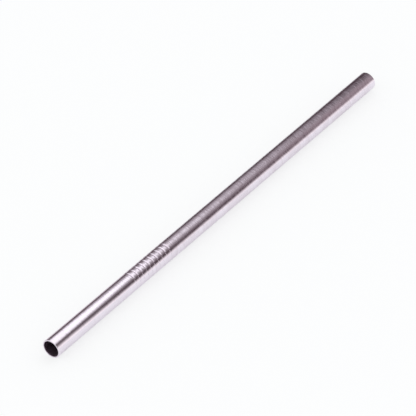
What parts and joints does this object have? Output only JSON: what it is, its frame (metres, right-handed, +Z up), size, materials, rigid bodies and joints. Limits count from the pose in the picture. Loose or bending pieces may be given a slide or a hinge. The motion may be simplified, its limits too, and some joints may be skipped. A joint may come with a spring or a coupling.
{
  "type": "metal drinking straw",
  "caption": "Straight reusable metal drinking straw: thin-walled round tube open at both ends, with smoothed rims and a group of shallow rolled rings near one end.",
  "frame": {"origin": "on the surface that the straw lies on, under the middle of its length", "axes": "+X along the straw from the ringed end to the plain end, +Z up"},
  "size_m": [0.215, 0.008, 0.008],
  "materials": {
    "steel": "fine cross-brushed bright steel"
  },
  "bodies": {
    "root": {"straw": "steel"}
  },
  "joints": []
}
